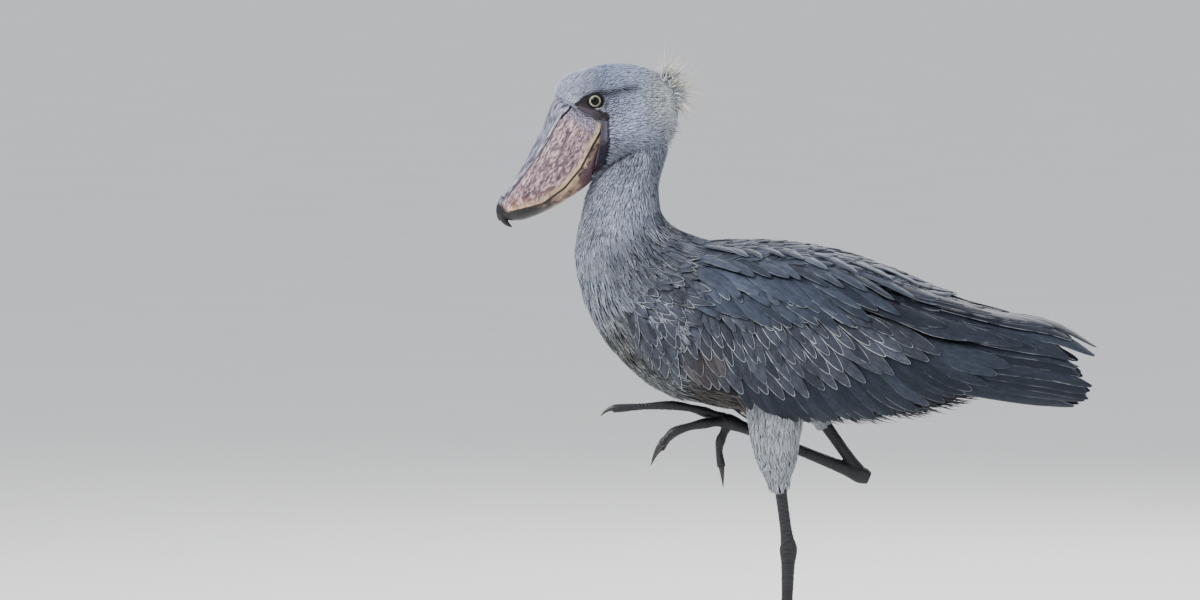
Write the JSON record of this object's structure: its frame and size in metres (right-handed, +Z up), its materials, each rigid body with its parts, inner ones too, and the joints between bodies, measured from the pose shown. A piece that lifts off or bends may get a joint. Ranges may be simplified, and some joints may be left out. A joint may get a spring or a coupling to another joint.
{
  "type": "shoebill",
  "caption": "Life-size standing shoebill, one foot lifted mid-stride, with a huge hooked bill, a short nape crest, folded wings and a short tail.",
  "frame": {"origin": "on the floor, under the middle of the bird's box", "axes": "+Z up along the bird's height, -X the way it faces, -Y its left side"},
  "size_m": [0.9846, 0.2858, 1.085],
  "materials": {
    "pale_plumage": "matte pale blue-grey feathers",
    "slate_plumage": "matte slate-grey feathers",
    "thigh_plumage": "matte pale grey downy feathers",
    "flight_feathers": "satin dark bluish-slate feathers",
    "bill_horn": "satin horn, pinkish straw with grey-violet mottling",
    "eye": "wet gloss, pale yellow-grey iris with a black pupil",
    "leg_skin": "matte blackish scaled skin",
    "claw_horn": "satin dark horn"
  },
  "bodies": {
    "root": {"head": "pale_plumage", "neck": "pale_plumage", "torso": "slate_plumage", "wing_left": "flight_feathers", "wing_right": "flight_feathers", "tail": "flight_feathers", "bill_upper": "bill_horn", "bill_lower": "bill_horn", "eye_left": "eye", "eye_right": "eye", "thigh_left": "thigh_plumage", "shank_left": "leg_skin", "tarsus_left": "leg_skin", "toe_middle_left": "leg_skin", "claw_middle_left": "claw_horn", "toe_inner_left": "leg_skin", "claw_inner_left": "claw_horn", "toe_outer_left": "leg_skin", "claw_outer_left": "claw_horn", "toe_hind_left": "leg_skin", "claw_hind_left": "claw_horn", "thigh_right": "thigh_plumage", "shank_right": "leg_skin", "tarsus_right": "leg_skin", "toe_middle_right": "leg_skin", "claw_middle_right": "claw_horn", "toe_inner_right": "leg_skin", "claw_inner_right": "claw_horn", "toe_outer_right": "leg_skin", "claw_outer_right": "claw_horn", "toe_hind_right": "leg_skin", "claw_hind_right": "claw_horn"}
  },
  "joints": []
}
